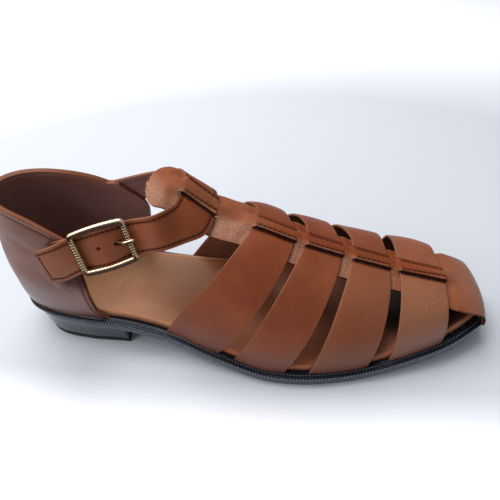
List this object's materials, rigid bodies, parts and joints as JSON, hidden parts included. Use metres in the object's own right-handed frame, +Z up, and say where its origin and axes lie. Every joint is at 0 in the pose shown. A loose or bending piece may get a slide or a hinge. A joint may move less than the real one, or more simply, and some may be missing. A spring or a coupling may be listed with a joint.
{
  "type": "fisherman sandal",
  "caption": "Leather T-strap fisherman sandal for the right foot: cross bands woven under a slit centre strap, closed heel counter, buckled ankle strap, black sole with low heel.",
  "frame": {"origin": "centre of the bounding box on the floor", "axes": "+X to the toe, +Y to the medial side, +Z up"},
  "size_m": [0.2873, 0.103, 0.1005],
  "materials": {
    "upper_leather": "smooth chestnut leather, satin",
    "insole_leather": "smooth tan leather, satin",
    "welt_black": "polished black edge",
    "sole_black": "polished black edge, matt underside",
    "heel_black": "polished black",
    "lift_rubber": "matt black",
    "tab_leather": "smooth chestnut leather",
    "buckle_metal": "pale gold, polished",
    "pin_metal": "pale gold, polished"
  },
  "bodies": {
    "root": {"upper": "upper_leather", "insole": "insole_leather", "welt": "welt_black", "outsole": "sole_black", "heel": "heel_black", "top_lift": "lift_rubber", "buckle_tab": "tab_leather", "buckle_frame": "buckle_metal", "buckle_pin": "pin_metal"}
  },
  "joints": []
}
